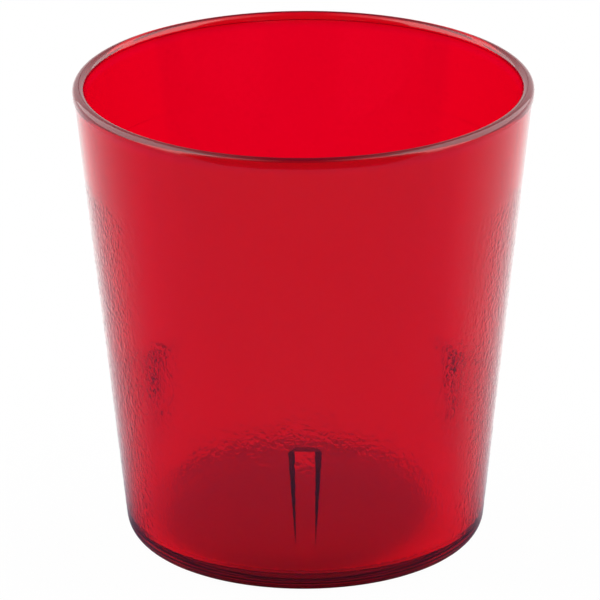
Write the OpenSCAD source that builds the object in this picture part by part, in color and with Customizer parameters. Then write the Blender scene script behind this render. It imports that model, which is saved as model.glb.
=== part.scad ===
// Stacking tumbler, moulded in one piece: a tapered cup with a bead round the mouth, a smooth
// lip band above a slightly sunk grip zone, a rounded heel, a foot ring, and three lugs inside
// that carry the next tumbler of a stack and keep it from jamming. All lengths are millimetres.
// The origin is the middle of the table plane under the foot, and +Z points up.

/* [Cup] */
// Height from the table to the top of the rim
height = 82.4; // [60:0.1:120]
// Diameter over the bead of the rim
rim_d = 79.4; // [72:0.1:90]
// Diameter of the tapered side where it would meet the table
foot_d = 61.7; // [50:0.1:68]
// Thickness of the wall just under the rim
wall_top = 2.05; // [1.2:0.05:2.6]
// Thickness of the wall at the table, where the core has less draft than the side
wall_foot = 2.25; // [1.4:0.05:3]

/* [Rim] */
// How far the bead stands out from the lip band
bead_proud = 0.1; // [0.05:0.01:0.25]
// How far the bead reaches down below the middle of its round
bead_skirt = 0.7; // [0.3:0.05:3]

/* [Grip zone] */
// Height of the smooth lip band, from the grip step to the top of the rim
band_h = 15.6; // [8:0.1:30]
// Depth of the step from the lip band down to the grip zone
grip_step = 0.05; // [0.03:0.01:0.4]

/* [Foot and floor] */
// Thickness of the floor in its middle
floor_t = 2.8; // [1.4:0.1:4]
// Radius of the heel between the side and the table
heel_r = 4; // [1.5:0.1:6]
// Radius of the hollow corner between the inside wall and the floor
corner_r = 2; // [1:0.1:5]
// Width of the flat face of the foot ring
ring_w = 2.2; // [1:0.1:6]
// Height of the hollow under the floor, which rises gently from the foot ring
recess_h = 0.4; // [0.3:0.1:1.5]
// Diameter of the level middle of that hollow
recess_flat_d = 6; // [3:1:30]
// Diameter of the moulding gate's mark, in the middle of the hollow
gate_mark_d = 1.6; // [0.8:0.1:2.4]
// How far the gate mark stands down from the hollow
gate_mark_h = 0.2; // [0.1:0.05:0.25]

/* [Stacking lugs] */
// Number of lugs round the inside
lug_count = 3; // [3:1:8]
// Direction of the first lug, turned from +X towards +Y
lug_turn = 270; // [0:5:360]
// Height above the table of the flat ledge on top of each lug
ledge_z = 27.3; // [24:0.1:50]
// Length of a lug, from where it fades out of the wall up to its ledge
lug_len = 19.8; // [10:0.1:20]
// Width of a lug's upright face
lug_w = 3.2; // [2:0.1:8]
// Angle at which a lug's flanks open towards the wall
flank_draft = 31; // [5:1:45]
// Rounding of the two long edges of a lug's face
lug_edge_r = 0.4; // [0.1:0.05:0.8]

/* [Hidden] */
$fn = 128;

// How far a straight side runs inside the round that it meets, so that the two cross cleanly
bite = 0.001;

// Rim: a full round, as thick as the wall and the bead together
lip_r = (wall_top + bead_proud) / 2;
lip_x = rim_d / 2 - lip_r;
lip_z = height - lip_r;
bead_z = lip_z - bead_skirt;

// Outer side: one straight taper for the grip zone, and the lip band a step proud of it
foot_r = foot_d / 2;
band_z = height - band_h;
side_taper = atan((rim_d / 2 - bead_proud - grip_step - foot_r) / lip_z);

// Inner side: the straight line that rises from the foot of the wall and touches the rim's round
core_foot_r = foot_r - wall_foot;
core_taper = 90 - atan2(lip_z, lip_x - core_foot_r)
    - asin((lip_r - bite) / norm([lip_x - core_foot_r, lip_z]));
lip_meet_z = lip_z + lip_r * sin(core_taper);
// Level well above the mouth, where the cut for the hollow ends
clear_z = 2 * height;

// Floor and foot
floor_z = recess_h + floor_t;
heel_x = corner_x(foot_r, heel_r, side_taper);
heel_meet_z = corner_top(heel_r, side_taper);
hollow_x = corner_x(core_r(floor_z), corner_r, core_taper);
hollow_meet_z = floor_z + corner_top(corner_r, core_taper);
ring_in_r = heel_x - ring_w;

// Lugs: the upright face starts where the tapered wall has drawn in to it
face_r = core_r(ledge_z - lug_len);
half_w = lug_w / 2;
edge_cut = lug_edge_r / tan(45 + flank_draft / 2);
edge_y = half_w - edge_cut + bite;

// Radius of the grip zone's surface at a height
function side_r(z) = foot_r + z * tan(side_taper);
// Radius of the inside wall at a height
function core_r(z) = core_foot_r + z * tan(core_taper);
// Radius of the middle of the wall at a height
function mid_r(z) = (side_r(z) + core_r(z)) / 2;
// Where the centre of a round lies that touches a level line and the taper that rises from it at side_x
function corner_x(side_x, r, taper) = side_x - r * (1 - sin(taper)) / cos(taper) + bite;
// How far above the level line that round passes into the taper
function corner_top(r, taper) = r * (1 - sin(taper));

// Half section of the outside, up to the middle of the rim's round
module outside_section() {
    translate([heel_x, heel_r]) circle(r = heel_r);
    polygon([
        [0, 0],
        [heel_x, 0],
        [side_r(heel_meet_z), heel_meet_z],
        [side_r(band_z), band_z],
        [side_r(band_z) + grip_step, band_z],
        [side_r(bead_z) + grip_step, bead_z],
        [rim_d / 2, bead_z + bead_proud],
        [rim_d / 2, lip_z],
        [lip_x, lip_meet_z],
        [0, lip_meet_z]
    ]);
}

// Half section of the hollow, which runs on upwards out of the mouth
module hollow_section() {
    translate([hollow_x, floor_z + corner_r]) circle(r = corner_r);
    polygon([
        [0, floor_z],
        [hollow_x, floor_z],
        [core_r(hollow_meet_z), hollow_meet_z],
        [core_r(clear_z), clear_z],
        [0, clear_z]
    ]);
}

// Half section of the hollow under the floor, with the gate mark left standing in it
module recess_section() {
    polygon([
        [0, -recess_h],
        [ring_in_r, -recess_h],
        [ring_in_r, 0],
        [recess_flat_d / 2, recess_h],
        [gate_mark_d / 2, recess_h],
        [gate_mark_d / 2, recess_h - gate_mark_h],
        [0, recess_h - gate_mark_h]
    ]);
}

// The wall, floor and rim, turned from one section
module cup() {
    rotate_extrude() {
        difference() {
            outside_section();
            hollow_section();
            recess_section();
        }
        translate([lip_x, lip_z]) circle(r = lip_r);
    }
}

// Plan of one lug that points along +X, with its face at x = 0 and its flanks running into the wall
module lug_plan() {
    reach = 2 * (wall_top + wall_foot);
    flank = [edge_cut * cos(flank_draft), half_w + edge_cut * sin(flank_draft)];
    back = [reach, half_w + reach * tan(flank_draft)];
    for (side = [-1, 1])
        translate([lug_edge_r, side * edge_y]) circle(r = lug_edge_r);
    polygon([
        [0, -edge_y],
        [0, edge_y],
        flank,
        back,
        [back[0], -back[1]],
        [flank[0], -flank[1]]
    ]);
}

// All lugs, each kept inside the middle of the wall so that none shows on the outside
module stacking_lugs() {
    intersection() {
        for (i = [0 : lug_count - 1])
            rotate(lug_turn + i * 360 / lug_count)
                translate([face_r, 0, floor_z])
                    linear_extrude(ledge_z - floor_z) lug_plan();
        rotate_extrude() polygon([
            [0, 0],
            [mid_r(0), 0],
            [mid_r(height), height],
            [0, height]
        ]);
    }
}

// Clear red plastic
module tumbler() {
    color([0.8, 0.05, 0.12, 0.8]) {
        cup();
        stacking_lugs();
    }
}

tumbler();
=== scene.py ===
import math

import bpy
from mathutils import Matrix, Vector


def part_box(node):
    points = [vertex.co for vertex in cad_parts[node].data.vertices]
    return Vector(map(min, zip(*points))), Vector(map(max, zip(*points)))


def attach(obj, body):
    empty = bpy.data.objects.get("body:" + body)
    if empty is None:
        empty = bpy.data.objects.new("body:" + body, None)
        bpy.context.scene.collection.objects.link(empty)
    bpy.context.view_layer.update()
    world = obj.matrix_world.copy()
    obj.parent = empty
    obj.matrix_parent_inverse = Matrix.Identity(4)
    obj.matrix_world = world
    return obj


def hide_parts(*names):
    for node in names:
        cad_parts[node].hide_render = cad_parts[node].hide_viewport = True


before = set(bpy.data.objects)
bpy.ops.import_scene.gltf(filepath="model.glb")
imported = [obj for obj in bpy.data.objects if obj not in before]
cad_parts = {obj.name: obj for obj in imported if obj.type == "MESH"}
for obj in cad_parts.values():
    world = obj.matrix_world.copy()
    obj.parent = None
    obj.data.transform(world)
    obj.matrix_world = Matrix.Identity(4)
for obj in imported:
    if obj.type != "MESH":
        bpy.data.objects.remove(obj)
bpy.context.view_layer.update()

mm = 0.001

# Sizes in millimetres; the height and the rim come from the frame
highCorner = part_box("tumbler")[1]
cup = {
    "height": highCorner.z / mm,
    "rimRadius": highCorner.x / mm,
    "footRadius": 30.85,     # tapered side, carried down to the table
    "wallTop": 2.05,
    "wallFoot": 2.25,
    "beadProud": 0.1,
    "beadSkirt": 0.7,        # how far the bead reaches below the middle of its round
    "beadSoft": 0.02,        # blunting of the bead's lower edge
    "bandHeight": 15.6,      # smooth band under the rim
    "gripStep": 0.05,
    "stepRise": [(0.8, 0.03), (1, 0.12)],    # shares of the step, and how far above its foot each lies
    "floorThick": 2.8,
    "heelRadius": 4.0,
    "cornerRadius": 2.0,
    "ringWidth": 2.2,
    "recessHeight": 0.4,
    "recessFlat": 3.0,       # radius of the level middle of the hollow under the floor
    "gateMarkRadius": 0.8,
    "gateMarkHeight": 0.2,
    "gateMarkSoft": 0.08,
    "segments": 136,         # round the axis, before the grip zone is made finer
    "gripRows": 38,
    "gripCuts": 3,           # each face of the grip zone becomes 4 by 4
    "lugRowsTop": 34,        # below this height the inside wall has closer rows, for the lugs
    "merge": 0.002,
    "sharpAngle": 30,        # in degrees; a steeper edge stays sharp
}
rows = {                     # faces along each stretch of the half section
    "recess": 8,
    "ring": 2,
    "heel": 10,
    "band": 8,
    "lip": 16,
    "upperWall": 12,
    "lowerWall": 8,
    "corner": 10,
    "floor": 6,
}

# The two tapers, as in the source of the part
lipRound = (cup["wallTop"] + cup["beadProud"]) / 2
lipX = cup["rimRadius"] - lipRound
lipZ = cup["height"] - lipRound
sideSlope = (cup["rimRadius"] - cup["beadProud"] - cup["gripStep"] - cup["footRadius"]) / lipZ
sideAngle = math.atan(sideSlope)
coreFoot = cup["footRadius"] - cup["wallFoot"]
lipReach = math.hypot(lipX - coreFoot, lipZ)
coreAngle = math.pi / 2 - math.atan2(lipZ, lipX - coreFoot) - math.asin(lipRound / lipReach)
coreSlope = math.tan(coreAngle)
stepZ = cup["height"] - cup["bandHeight"]
floorZ = cup["recessHeight"] + cup["floorThick"]


def sideRadius(z):
    return cup["footRadius"] + z * sideSlope


def coreRadius(z):
    return coreFoot + z * coreSlope


def arc(x, z, radius, start, end, steps):
    # points of a round in the section, angles in degrees
    points = []
    for i in range(steps + 1):
        a = math.radians(start + (end - start) * i / steps)
        points.append((x + radius * math.cos(a), z + radius * math.sin(a)))
    return points


def spaced(a, b, steps):
    # evenly spaced points from after the first end up to the far end
    across, along = b[0] - a[0], b[1] - a[1]
    return [(a[0] + across * i / steps, a[1] + along * i / steps) for i in range(1, steps + 1)]


def cupSection():
    # from the middle of the underside, out over the heel, up to the rim, and back down the inside
    heelRise = cup["heelRadius"] * (1 - math.sin(sideAngle))
    heelX = cup["footRadius"] - heelRise / math.cos(sideAngle)
    cornerRise = cup["cornerRadius"] * (1 - math.sin(coreAngle))
    hollowX = coreRadius(floorZ) - cornerRise / math.cos(coreAngle)
    ringIn = heelX - cup["ringWidth"]
    roof = cup["recessHeight"]
    markZ = roof - cup["gateMarkHeight"]
    soft = cup["gateMarkSoft"]
    points = [(0, markZ)]
    points += [(cup["gateMarkRadius"] - soft, markZ)]
    points += [(cup["gateMarkRadius"], markZ + soft)]
    points += [(cup["gateMarkRadius"] + soft, roof)]
    points += [(cup["recessFlat"], roof)]
    points += spaced(points[-1], (ringIn, 0), rows["recess"])
    points += spaced(points[-1], (heelX, 0), rows["ring"])
    sideTurn = -math.degrees(sideAngle)
    points += arc(heelX, cup["heelRadius"], cup["heelRadius"], -90, sideTurn, rows["heel"])[1:]
    gripFootZ = points[-1][1]
    points += spaced(points[-1], (sideRadius(stepZ), stepZ), cup["gripRows"])
    for share, rise in cup["stepRise"]:
        points += [(sideRadius(stepZ) + cup["gripStep"] * share, stepZ + rise)]
    beadZ = lipZ - cup["beadSkirt"]
    points += spaced(points[-1], (sideRadius(beadZ) + cup["gripStep"], beadZ), rows["band"])
    points += [(cup["rimRadius"] - cup["beadSoft"], beadZ + cup["beadProud"] - cup["beadSoft"])]
    points += [(cup["rimRadius"], beadZ + cup["beadProud"] + cup["beadSoft"])]
    coreTurn = math.degrees(coreAngle)
    points += arc(lipX, lipZ, lipRound, 0, 180 - coreTurn, rows["lip"])
    lugTop = cup["lugRowsTop"]
    points += spaced(points[-1], (coreRadius(lugTop), lugTop), rows["upperWall"])
    cornerTop = floorZ + cornerRise
    points += spaced(points[-1], (coreRadius(cornerTop), cornerTop), rows["lowerWall"])
    cornerZ = floorZ + cup["cornerRadius"]
    points += arc(hollowX, cornerZ, cup["cornerRadius"], -coreTurn, -90, rows["corner"])[1:]
    points += spaced(points[-1], (0, floorZ), rows["floor"])
    return points, gripFootZ


def deselectAll():
    for item in bpy.context.selected_objects:
        item.select_set(False)


def activate(item):
    deselectAll()
    item.select_set(True)
    bpy.context.view_layer.objects.active = item


def applyModifiers(item):
    activate(item)
    for modifier in list(item.modifiers):
        bpy.ops.object.modifier_apply(modifier=modifier.name)


def turnCup():
    # the half section is drawn by extruding one vertex, then spun once round the axis
    points, gripFootZ = cupSection()
    deselectAll()
    bpy.ops.mesh.primitive_plane_add(size=mm, location=(0, 0, 0))
    shell = bpy.context.object
    shell.name = "tumblerShell"
    bpy.ops.object.mode_set(mode="EDIT")
    bpy.ops.mesh.select_all(action="SELECT")
    bpy.ops.mesh.merge(type="CENTER")
    bpy.ops.transform.translate(value=(points[0][0] * mm, 0, points[0][1] * mm))
    for here, there in zip(points, points[1:]):
        step = ((there[0] - here[0]) * mm, 0, (there[1] - here[1]) * mm)
        bpy.ops.mesh.extrude_region_move(TRANSFORM_OT_translate={"value": step})
    bpy.ops.mesh.select_all(action="SELECT")
    bpy.ops.mesh.spin(steps=cup["segments"], angle=2 * math.pi, center=(0, 0, 0), axis=(0, 0, 1))
    bpy.ops.mesh.select_all(action="SELECT")
    bpy.ops.mesh.remove_doubles(threshold=cup["merge"] * mm)
    bpy.ops.mesh.normals_make_consistent(inside=False)
    bpy.ops.object.mode_set(mode="OBJECT")
    print("cup turned:", len(shell.data.polygons), "faces")
    return shell, gripFootZ


lug = {
    "count": 3,
    "turn": 270.0,           # in degrees; the first one faces the camera
    "ledge": 27.3,
    "length": 19.8,
    "buried": 2.0,           # how far a lug runs on down inside the wall
    "width": 3.2,
    "draft": 31.0,           # in degrees, of each flank
    "edgeCut": 0.24,         # how far the rounding of a long edge reaches from it
    "edgeSteps": 3,
}


def modelLug():
    # an upright face, extruded back into the wall and widened by the draft
    faceRadius = coreRadius(lug["ledge"] - lug["length"])
    footZ = lug["ledge"] - lug["length"] - lug["buried"]
    tall = lug["ledge"] - footZ
    middle = (faceRadius * mm, 0, (footZ + tall / 2) * mm)
    deselectAll()
    bpy.ops.mesh.primitive_plane_add(size=1, location=middle, rotation=(0, math.pi / 2, 0))
    body = bpy.context.object
    body.scale = (tall * mm, lug["width"] * mm, 1)
    bpy.ops.object.transform_apply(location=True, rotation=True, scale=True)
    bpy.ops.object.mode_set(mode="EDIT")
    bpy.ops.mesh.select_all(action="SELECT")
    bpy.ops.mesh.extrude_region_move(TRANSFORM_OT_translate={"value": (mm, 0, 0)})
    bpy.ops.object.mode_set(mode="OBJECT")
    halfway = faceRadius * mm + mm / 2
    spread = math.tan(math.radians(lug["draft"]))
    for vertex in body.data.vertices:
        if vertex.co.x > halfway:
            z = vertex.co.z / mm
            back = (coreRadius(z) + sideRadius(z)) / 2    # the middle of the wall
            vertex.co.x = back * mm
            vertex.co.y += math.copysign((back - faceRadius) * spread * mm, vertex.co.y)
    for edge in body.data.edges:
        ends = [body.data.vertices[i].co for i in edge.vertices]
        upright = abs(ends[0].z - ends[1].z) > tall * mm / 2
        edge.select = upright and max(end.x for end in ends) < halfway
    bpy.ops.object.mode_set(mode="EDIT")
    bpy.ops.mesh.select_mode(type="EDGE")
    bpy.ops.mesh.bevel(offset=lug["edgeCut"] * mm, segments=lug["edgeSteps"], affect="EDGES")
    bpy.ops.mesh.select_all(action="SELECT")
    bpy.ops.mesh.normals_make_consistent(inside=False)
    bpy.ops.object.mode_set(mode="OBJECT")
    return body


def addLugs(shell):
    first = modelLug()
    for i in range(lug["count"]):
        turned = first.copy()
        turned.data = first.data.copy()
        bpy.context.scene.collection.objects.link(turned)
        turn = math.radians(lug["turn"] + 360 * i / lug["count"])
        turned.data.transform(Matrix.Rotation(turn, 4, "Z"))
        joint = shell.modifiers.new("lug", "BOOLEAN")
        joint.operation = "UNION"
        joint.solver = "EXACT"
        joint.object = turned
        applyModifiers(shell)
        bpy.data.objects.remove(turned)
    bpy.data.objects.remove(first)
    print("lugs joined:", len(shell.data.polygons), "faces")


pebble = {
    "cell": 0.85,            # width of a pebble, in mm
    "wander": 0.25,          # how far the cells are pulled out of shape, in mm
    "wanderScale": 0.7,      # waves of that pull in one cell width
    "relief": 0.05,          # height of a pebble, in mm
    "slope": 0.45,           # share of a cell over which a pebble rises
    "groove": 0.016,         # depth of the crease between pebbles, in mm
    "grooveSlope": 0.36,     # share of a cell over which the crease rises
    "patch": 4.0,            # size of the patches with more and less groove, in mm
    "fade": 1.2,             # the grain dies out over this height, in mm
}


def onSide(place, low, high):
    # is a point on the tapered outside, between two heights in mm
    near = 0.1
    z = place.z / mm
    return low <= z <= high and abs(math.hypot(place.x, place.y) / mm - sideRadius(z)) < near


def refineGrip(shell, gripFootZ):
    activate(shell)
    bpy.ops.object.mode_set(mode="EDIT")
    bpy.ops.mesh.select_mode(type="FACE")
    bpy.ops.mesh.select_all(action="DESELECT")
    bpy.ops.object.mode_set(mode="OBJECT")
    for face in shell.data.polygons:
        face.select = onSide(face.center, gripFootZ, stepZ)
    bpy.ops.object.mode_set(mode="EDIT")
    bpy.ops.mesh.subdivide(number_cuts=cup["gripCuts"])
    bpy.ops.object.mode_set(mode="OBJECT")
    # the cuts lie on chords, so each new point goes out to the true taper
    slack = 0.01
    weights = []
    for vertex in shell.data.vertices:
        weight = 0
        if onSide(vertex.co, gripFootZ - slack, stepZ + slack):
            z = vertex.co.z / mm
            grow = sideRadius(z) * mm / math.hypot(vertex.co.x, vertex.co.y)
            vertex.co.x *= grow
            vertex.co.y *= grow
            weight = min(max(min(z - gripFootZ, stepZ - z) / pebble["fade"], 0), 1)
        weights.append(weight)
    shell.data.attributes.new("grip", "FLOAT", "POINT").data.foreach_set("value", weights)
    print("grip zone refined:", len(shell.data.polygons), "faces")


def addNode(tree, kind, place, settings=None, links=None):
    node = tree.nodes.new(kind)
    node.location = place
    for name, value in (settings or {}).items():
        if isinstance(name, int) or name in node.inputs:
            node.inputs[name].default_value = value
        else:
            setattr(node, name, value)
    for name, socket in (links or {}).items():
        tree.links.new(socket, node.inputs[name])
    return node


def pebbleCells(tree, place):
    # distance from the border of a pebble, 0 at the border, in cell widths
    pull = 4 * pebble["wander"] / pebble["cell"]     # times 4, because the noise strays by about a quarter
    scaled = addNode(tree, "ShaderNodeVectorMath", (-1400, 0), {
        "operation": "SCALE", "Scale": 1 / (pebble["cell"] * mm)}, {0: place})
    drift = addNode(tree, "ShaderNodeTexNoise", (-1200, -200), {
        "Scale": pebble["wanderScale"], "Detail": 2.0}, {"Vector": scaled.outputs[0]})
    centred = addNode(tree, "ShaderNodeVectorMath", (-1000, -200), {
        "operation": "SUBTRACT", 1: (0.5, 0.5, 0.5)}, {0: drift.outputs["Color"]})
    pulled = addNode(tree, "ShaderNodeVectorMath", (-800, 0), {
        "operation": "MULTIPLY_ADD", 1: (pull, pull, pull)}, {
        0: centred.outputs[0], 2: scaled.outputs[0]})
    cells = addNode(tree, "ShaderNodeTexVoronoi", (-600, 0), {
        "feature": "DISTANCE_TO_EDGE", "Scale": 1.0}, {"Vector": pulled.outputs[0]})
    return cells.outputs["Distance"]


def grainGrip(shell):
    # the larger form of the grain, pressed into the mesh
    half = pebble["relief"] * mm / 2
    group = bpy.data.node_groups.new("pebbleGrain", "GeometryNodeTree")
    group.interface.new_socket("Mesh", in_out="INPUT", socket_type="NodeSocketGeometry")
    group.interface.new_socket("Mesh", in_out="OUTPUT", socket_type="NodeSocketGeometry")
    start = addNode(group, "NodeGroupInput", (-400, 300))
    place = addNode(group, "GeometryNodeInputPosition", (-1600, 0))
    rise = addNode(group, "ShaderNodeMapRange", (-400, 0), {
        "interpolation_type": "SMOOTHSTEP", "From Max": pebble["slope"], "To Min": -half, "To Max": half}, {
        "Value": pebbleCells(group, place.outputs[0])})
    grip = addNode(group, "GeometryNodeInputNamedAttribute", (-400, -300), {
        "data_type": "FLOAT", "Name": "grip"})
    faded = addNode(group, "ShaderNodeMath", (-200, 0), {"operation": "MULTIPLY"}, {
        0: rise.outputs[0], 1: grip.outputs[0]})
    normal = addNode(group, "GeometryNodeInputNormal", (-200, -200))
    offset = addNode(group, "ShaderNodeVectorMath", (0, 0), {"operation": "SCALE"}, {
        0: normal.outputs[0], "Scale": faded.outputs[0]})
    pressed = addNode(group, "GeometryNodeSetPosition", (200, 200), None, {
        "Geometry": start.outputs[0], "Offset": offset.outputs[0]})
    addNode(group, "NodeGroupOutput", (400, 200), None, {0: pressed.outputs[0]})
    grain = shell.modifiers.new("grain", "NODES")
    grain.node_group = group
    applyModifiers(shell)
    print("grain pressed in")


def linear(hexColour):
    # sRGB hex to the linear values that a shader takes
    values = [int(hexColour[i:i + 2], 16) / 255 for i in (1, 3, 5)]
    return [v / 12.92 if v <= 0.04045 else ((v + 0.055) / 1.055) ** 2.4 for v in values] + [1]


plastic = {
    "roughness": 0.04,
    "ior": 1.57,
    "clear": 0.97,           # share of the light that the surface lets in
    # the plastic's own red, which tints the light it lets in; its blue, through the trace of haze, is a
    # painted bluish sheen
    "colour": "#ed0a95",
    "rimSheenClear": 0.78,        # the same two at the rim, hazier and less blue there: a painted sheen for its paler highlights
    "rimSheenColour": "#ed0a40",
    "rimSheenFrom": 3,            # mm below the top where the painted rim sheen begins
    "rimSheenFull": 1,            # mm below the top where they hold in full
    "depthColour": "#fe00c3",    # green is gone within 1 mm and blue within 2 mm, and red hardly fades
    "density": 3400.0,
}


def clearRedStyrene():
    # SAN plastic, injection moulded in a polished mould: glass-clear, so its red deepens with every
    # millimetre of plastic that the light has to cross
    material = bpy.data.materials.new("clearRedStyrene")
    material.use_nodes = True
    tree = material.node_tree
    tree.nodes.clear()
    spot = addNode(tree, "ShaderNodeTexCoord", (-1600, 0))
    groove = addNode(tree, "ShaderNodeMapRange", (-400, 0), {
        "interpolation_type": "SMOOTHSTEP", "From Max": pebble["grooveSlope"]}, {
        "Value": pebbleCells(tree, spot.outputs["Object"])})
    grip = addNode(tree, "ShaderNodeAttribute", (-800, -300), {"attribute_name": "grip"})
    patches = addNode(tree, "ShaderNodeTexNoise", (-800, -500), {
        "Scale": 1 / (pebble["patch"] * mm), "Detail": 1.0}, {"Vector": spot.outputs["Object"]})
    amount = addNode(tree, "ShaderNodeMath", (-600, -300), {"operation": "MULTIPLY"}, {
        0: grip.outputs["Fac"], 1: patches.outputs["Fac"]})
    # twice the depth, because the patches are at a half on average
    bumps = addNode(tree, "ShaderNodeBump", (-200, -300), {"Distance": 2 * pebble["groove"] * mm}, {
        "Strength": amount.outputs[0], "Height": groove.outputs[0]})
    parts = addNode(tree, "ShaderNodeSeparateXYZ", (-800, 300), None, {0: spot.outputs["Object"]})
    # the band under the top gets a painted sheen: less clear and less blue than the rest
    rimSheen = addNode(tree, "ShaderNodeMapRange", (-600, 300), {
        "interpolation_type": "SMOOTHSTEP",
        "From Min": (cup["height"] - plastic["rimSheenFrom"]) * mm,
        "From Max": (cup["height"] - plastic["rimSheenFull"]) * mm}, {"Value": parts.outputs["Z"]})
    clear = addNode(tree, "ShaderNodeMapRange", (-400, 250), {
        "To Min": plastic["clear"], "To Max": plastic["rimSheenClear"]}, {"Value": rimSheen.outputs[0]})
    tint = addNode(tree, "ShaderNodeMix", (-400, 450), {
        "data_type": "RGBA", 6: linear(plastic["colour"]), 7: linear(plastic["rimSheenColour"])}, {
        0: rimSheen.outputs[0]})
    body = addNode(tree, "ShaderNodeBsdfPrincipled", (0, 0), {
        "Roughness": plastic["roughness"], "IOR": plastic["ior"]}, {
        "Base Color": tint.outputs[2], "Transmission Weight": clear.outputs[0], "Normal": bumps.outputs[0]})
    through = addNode(tree, "ShaderNodeVolumeAbsorption", (0, -400), {
        "Color": linear(plastic["depthColour"]), "Density": plastic["density"]})
    addNode(tree, "ShaderNodeOutputMaterial", (400, 0), None, {
        "Surface": body.outputs[0], "Volume": through.outputs[0]})
    return material


def makeTumbler():
    shell, gripFootZ = turnCup()
    addLugs(shell)
    refineGrip(shell, gripFootZ)
    grainGrip(shell)
    activate(shell)
    bpy.ops.object.shade_smooth_by_angle(angle=math.radians(cup["sharpAngle"]))
    even = shell.modifiers.new("even", "WEIGHTED_NORMAL")   # small roundings bend no flat face
    even.keep_sharp = True
    applyModifiers(shell)
    shell.data.materials.clear()
    shell.data.materials.append(clearRedStyrene())
    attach(shell, "root")
    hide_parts("tumbler")
    print("tumbler finished")


table = {                    # sizes and places in metres
    "width": 6.0,
    "front": -0.18,
    "back": 3.0,
    "colour": "#f4f4f4",
    "white": 0.98,           # share of Emission in what the camera sees; the rest takes the shadow
    # the painted glow on the table that the plastic reflects, by bearing in degrees, 90 right behind
    "glowFrom": -15,
    "glowFull": 55,
    "glowCurve": 1.6,
    "glowMore": 0.4,         # strength of the painted glow beyond 1
    "glowLean": 0.07,        # makes it reach further forward on the right
    # the rest of what the plastic reflects: painted grey shade, darker close to this place
    "veilPlace": (0, -0.02, 0),
    "veilFrom": 0.015,
    "veilTo": 0.05,
    "veilNear": "#60606a",
    "veilFar": "#7c7c9c",
    # the shade that shows through the plastic, under the cup and just behind it
    "shadePlace": (-0.003, 0.008, 0),
    "shadeFrom": 0.03,
    "shadeTo": 0.0375,
    "shadeStretch": (1.35, 1, 1),    # the larger, the narrower the shade is along that axis
    "shadeLevel": 0.41,
    "openLevel": 1.08,       # outside the shade
    # painted shade on the table in front of the cup, as it shows through the plastic
    "frontFrom": -0.036,
    "frontTo": -0.012,
    "frontShadeLevel": 0.08,
}


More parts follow.
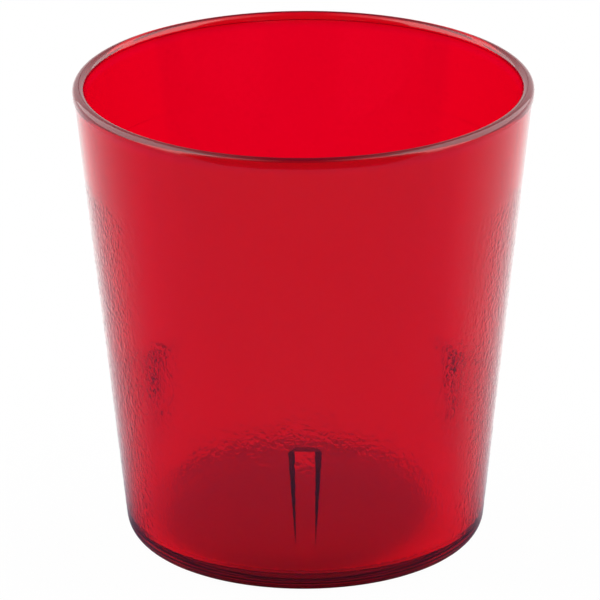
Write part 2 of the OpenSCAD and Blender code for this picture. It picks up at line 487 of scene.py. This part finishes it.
def paleFloor():
    # a white table that ends just in front of the cup; a gloss surface finds a painted glow on it
    # towards the back and painted grey shade in front
    deselectAll()
    bpy.ops.mesh.primitive_plane_add(size=1, location=(0, 0, 0))
    floor = bpy.context.object
    floor.name = "paleFloor"
    floor.scale = (table["width"], table["back"] - table["front"], 1)
    floor.location = (0, (table["back"] + table["front"]) / 2, 0)
    bpy.ops.object.transform_apply(location=True, rotation=False, scale=True)
    material = bpy.data.materials.new("paleBoard")
    material.use_nodes = True
    tree = material.node_tree
    tree.nodes.clear()
    path = addNode(tree, "ShaderNodeLightPath", (-1400, 200))
    # 1 for a ray that a gloss surface throws back, 0 for one that passes through it
    thrown = addNode(tree, "ShaderNodeMath", (-600, 0), {"operation": "SUBTRACT", "use_clamp": True}, {
        0: path.outputs["Is Glossy Ray"], 1: path.outputs["Is Transmission Ray"]})
    spot = addNode(tree, "ShaderNodeTexCoord", (-1600, -200))
    parts = addNode(tree, "ShaderNodeSeparateXYZ", (-1400, -200), None, {0: spot.outputs["Object"]})
    # how bright the table is to such a ray: a painted glow towards the back
    aside = addNode(tree, "ShaderNodeMath", (-1200, -100), {"operation": "ABSOLUTE"}, {
        0: parts.outputs["X"]})
    leant = addNode(tree, "ShaderNodeMath", (-1200, -300), {
        "operation": "MULTIPLY_ADD", 1: table["glowLean"]}, {0: parts.outputs["X"], 2: parts.outputs["Y"]})
    bearing = addNode(tree, "ShaderNodeMath", (-1000, -200), {"operation": "ARCTAN2"}, {
        0: leant.outputs[0], 1: aside.outputs[0]})
    behind = addNode(tree, "ShaderNodeMapRange", (-800, -200), {
        "From Min": math.radians(table["glowFrom"]), "From Max": math.radians(table["glowFull"])}, {
        "Value": bearing.outputs[0]})
    curve = addNode(tree, "ShaderNodeMath", (-600, -200), {
        "operation": "POWER", 1: table["glowCurve"]}, {0: behind.outputs[0]})
    paintedGlow = addNode(tree, "ShaderNodeMath", (-400, -200), {"operation": "MULTIPLY"}, {
        0: curve.outputs[0], 1: thrown.outputs[0]})
    # painted shade for such a ray: a grey board, darker close to the cup
    ahead = addNode(tree, "ShaderNodeVectorMath", (-1000, -500), {
        "operation": "DISTANCE", 1: table["veilPlace"]}, {0: spot.outputs["Object"]})
    near = addNode(tree, "ShaderNodeMapRange", (-800, -500), {
        "From Min": table["veilFrom"], "From Max": table["veilTo"]}, {"Value": ahead.outputs["Value"]})
    paintedVeil = addNode(tree, "ShaderNodeMix", (-600, -500), {
        "data_type": "RGBA", 6: linear(table["veilNear"]), 7: linear(table["veilFar"])}, {
        0: near.outputs[0]})
    mirrored = addNode(tree, "ShaderNodeMix", (-400, -50), {
        "data_type": "RGBA", 6: linear(table["colour"])}, {0: thrown.outputs[0], 7: paintedVeil.outputs[2]})
    board = addNode(tree, "ShaderNodeBsdfDiffuse", (0, 0), None, {"Color": mirrored.outputs[2]})
    # what shows through the plastic: shade under and just behind the cup, and a dim front
    wide = addNode(tree, "ShaderNodeVectorMath", (-1400, 600), {
        "operation": "MULTIPLY", 1: table["shadeStretch"]}, {0: spot.outputs["Object"]})
    spread = addNode(tree, "ShaderNodeVectorMath", (-1200, 600), {
        "operation": "DISTANCE", 1: table["shadePlace"]}, {0: wide.outputs[0]})
    beside = addNode(tree, "ShaderNodeMapRange", (-1000, 600), {
        "interpolation_type": "SMOOTHSTEP", "From Min": table["shadeFrom"], "From Max": table["shadeTo"],
        "To Min": table["shadeLevel"], "To Max": table["openLevel"]}, {"Value": spread.outputs["Value"]})
    front = addNode(tree, "ShaderNodeMapRange", (-800, 400), {
        "interpolation_type": "SMOOTHSTEP", "From Min": table["frontFrom"], "From Max": table["frontTo"],
        "To Min": table["frontShadeLevel"]}, {"Value": parts.outputs["Y"]})
    through = addNode(tree, "ShaderNodeMath", (-400, 400), {"operation": "MULTIPLY"}, {
        0: front.outputs[0], 1: beside.outputs[0]})
    # the strength of the white, and how much of it each kind of ray finds
    power = addNode(tree, "ShaderNodeMath", (-400, -300), {
        "operation": "MULTIPLY_ADD", 1: table["glowMore"], 2: 1.0}, {0: thrown.outputs[0]})
    level = addNode(tree, "ShaderNodeMix", (-200, -300), {"data_type": "FLOAT"}, {
        0: path.outputs["Is Transmission Ray"], 2: power.outputs[0], 3: through.outputs[0]})
    white = addNode(tree, "ShaderNodeEmission", (0, -150), None, {"Strength": level.outputs[0]})
    seen = addNode(tree, "ShaderNodeMath", (-200, 200), {"operation": "MULTIPLY_ADD", 1: table["white"]}, {
        0: path.outputs["Is Camera Ray"], 2: path.outputs["Is Transmission Ray"]})
    share = addNode(tree, "ShaderNodeMath", (0, 200), {"operation": "MULTIPLY_ADD", 1: table["white"]}, {
        0: paintedGlow.outputs[0], 2: seen.outputs[0]})
    both = addNode(tree, "ShaderNodeMixShader", (200, 0), None, {
        0: share.outputs[0], 1: board.outputs[0], 2: white.outputs[0]})
    addNode(tree, "ShaderNodeOutputMaterial", (400, 0), None, {"Surface": both.outputs[0]})
    floor.data.materials.append(material)
    print("floor laid")


tent = {                     # From and To are where an edge begins and ends, along one axis of a direction
    "dim": 0.05,             # level where there is no wall
    "sideFrom": 0.05,        # the side walls, by how far aside a direction points
    "sideTo": 0.45,
    "openFrom": -0.6,        # the open front, where they end
    "openTo": -0.3,
    "rearFrom": 0.2,         # the wall behind
    "rearTo": 0.5,
    "slitFrom": 0.01,        # the dark slit in its middle, to each side
    "slitTo": 0.035,
    "topFrom": 0.35,         # its upper edge
    "topTo": 0.6,
    "throughFrom": -0.4,     # what shows through the plastic is dimmer in front
    "throughTo": 0.0,
    "throughFront": 0.2,
}


def studioWorld():
    # pale tent walls left and right and low behind, with a dark slit in the middle of the back, and
    # a dim room in front and above
    world = bpy.data.worlds.new("studio")
    bpy.context.scene.world = world
    world.use_nodes = True
    tree = world.node_tree
    tree.nodes.clear()
    path = addNode(tree, "ShaderNodeLightPath", (-600, 200))
    way = addNode(tree, "ShaderNodeTexCoord", (-1000, 0))
    parts = addNode(tree, "ShaderNodeSeparateXYZ", (-800, 0), None, {0: way.outputs["Generated"]})
    aside = addNode(tree, "ShaderNodeMath", (-600, 0), {"operation": "ABSOLUTE"}, {0: parts.outputs["X"]})
    side = addNode(tree, "ShaderNodeMapRange", (-400, 0), {
        "interpolation_type": "SMOOTHSTEP", "From Min": tent["sideFrom"], "From Max": tent["sideTo"]}, {
        "Value": aside.outputs[0]})
    depth = addNode(tree, "ShaderNodeMapRange", (-400, -250), {
        "interpolation_type": "SMOOTHSTEP", "From Min": tent["openFrom"], "From Max": tent["openTo"]}, {
        "Value": parts.outputs["Y"]})
    sides = addNode(tree, "ShaderNodeMath", (-200, -100), {"operation": "MULTIPLY"}, {
        0: side.outputs[0], 1: depth.outputs[0]})
    low = addNode(tree, "ShaderNodeMapRange", (-400, -450), {
        "interpolation_type": "SMOOTHSTEP", "From Min": tent["topFrom"], "From Max": tent["topTo"],
        "To Min": 1.0, "To Max": 0.0}, {"Value": parts.outputs["Z"]})
    rear = addNode(tree, "ShaderNodeMapRange", (-400, -650), {
        "interpolation_type": "SMOOTHSTEP", "From Min": tent["rearFrom"], "From Max": tent["rearTo"]}, {
        "Value": parts.outputs["Y"]})
    slit = addNode(tree, "ShaderNodeMapRange", (-400, -850), {
        "interpolation_type": "SMOOTHSTEP", "From Min": tent["slitFrom"], "From Max": tent["slitTo"]}, {
        "Value": aside.outputs[0]})
    pair = addNode(tree, "ShaderNodeMath", (-200, -650), {"operation": "MULTIPLY"}, {
        0: rear.outputs[0], 1: slit.outputs[0]})
    drop = addNode(tree, "ShaderNodeMath", (-200, -450), {"operation": "MULTIPLY"}, {
        0: low.outputs[0], 1: pair.outputs[0]})
    both = addNode(tree, "ShaderNodeMath", (-200, -250), {"operation": "MAXIMUM"}, {
        0: sides.outputs[0], 1: drop.outputs[0]})
    room = addNode(tree, "ShaderNodeMapRange", (-50, -100), {"To Min": tent["dim"]}, {
        "Value": both.outputs[0]})
    back = addNode(tree, "ShaderNodeMapRange", (-400, 400), {
        "interpolation_type": "SMOOTHSTEP", "From Min": tent["throughFrom"], "From Max": tent["throughTo"],
        "To Min": tent["throughFront"]}, {"Value": parts.outputs["Y"]})
    seen = addNode(tree, "ShaderNodeMath", (-200, 200), {"operation": "MULTIPLY_ADD"}, {
        0: path.outputs["Is Transmission Ray"], 1: back.outputs[0], 2: path.outputs["Is Camera Ray"]})
    level = addNode(tree, "ShaderNodeMath", (100, 100), {"operation": "MAXIMUM"}, {
        0: room.outputs[0], 1: seen.outputs[0]})
    sky = addNode(tree, "ShaderNodeBackground", (300, 0), {"Color": (1, 1, 1, 1)}, {
        "Strength": level.outputs[0]})
    addNode(tree, "ShaderNodeOutputWorld", (500, 0), None, {"Surface": sky.outputs[0]})
    print("room set")


softBoxes = {                # two upright boxes that face each other across the cup, in metres and watts
    "names": ("leftBox", "rightBox"),
    "aside": 0.45,
    "back": 0.19,
    "up": 0.55,
    "size": (0.9, 0.85),
    "watts": 3.4,
}


def hangLamps():
    for name, way in zip(softBoxes["names"], (-1, 1)):
        lamp = bpy.data.lights.new(name, "AREA")
        lamp.shape = "RECTANGLE"
        lamp.size, lamp.size_y = softBoxes["size"]
        lamp.energy = softBoxes["watts"]
        item = bpy.data.objects.new(name, lamp)
        bpy.context.scene.collection.objects.link(item)
        item.location = (way * softBoxes["aside"], softBoxes["back"], softBoxes["up"])
        item.rotation_euler = Vector((-way, 0, 0)).to_track_quat("-Z", "Y").to_euler()
    print("lamps hung")


view = {                     # fitted to the outline of the cup in the photo
    "pixels": 600,           # width of the photo
    "focal": 7000,           # in those pixels
    "away": 1135.5,          # in mm
    "up": 474.4,
    "pitch": 20.826,         # in degrees, as the next two
    "yaw": -0.038,
    "roll": -0.291,
    "sensor": 36,            # in mm
    "clip": 20,              # in metres
}


def aimCamera():
    data = bpy.data.cameras.new("camera")
    data.sensor_width = view["sensor"]
    data.lens = view["focal"] / view["pixels"] * data.sensor_width
    data.clip_end = view["clip"]
    camera = bpy.data.objects.new("camera", data)
    bpy.context.scene.collection.objects.link(camera)
    camera.location = (0, -view["away"] * mm, view["up"] * mm)
    turn = (Matrix.Rotation(math.radians(-view["yaw"]), 3, "Z")
            @ Matrix.Rotation(math.radians(90 - view["pitch"]), 3, "X")
            @ Matrix.Rotation(math.radians(view["roll"]), 3, "Z"))
    camera.rotation_euler = turn.to_euler()
    bpy.context.scene.camera = camera
    print("camera aimed")


makeTumbler()
paleFloor()
studioWorld()
hangLamps()
aimCamera()
bpy.context.scene.view_settings.view_transform = "Standard"
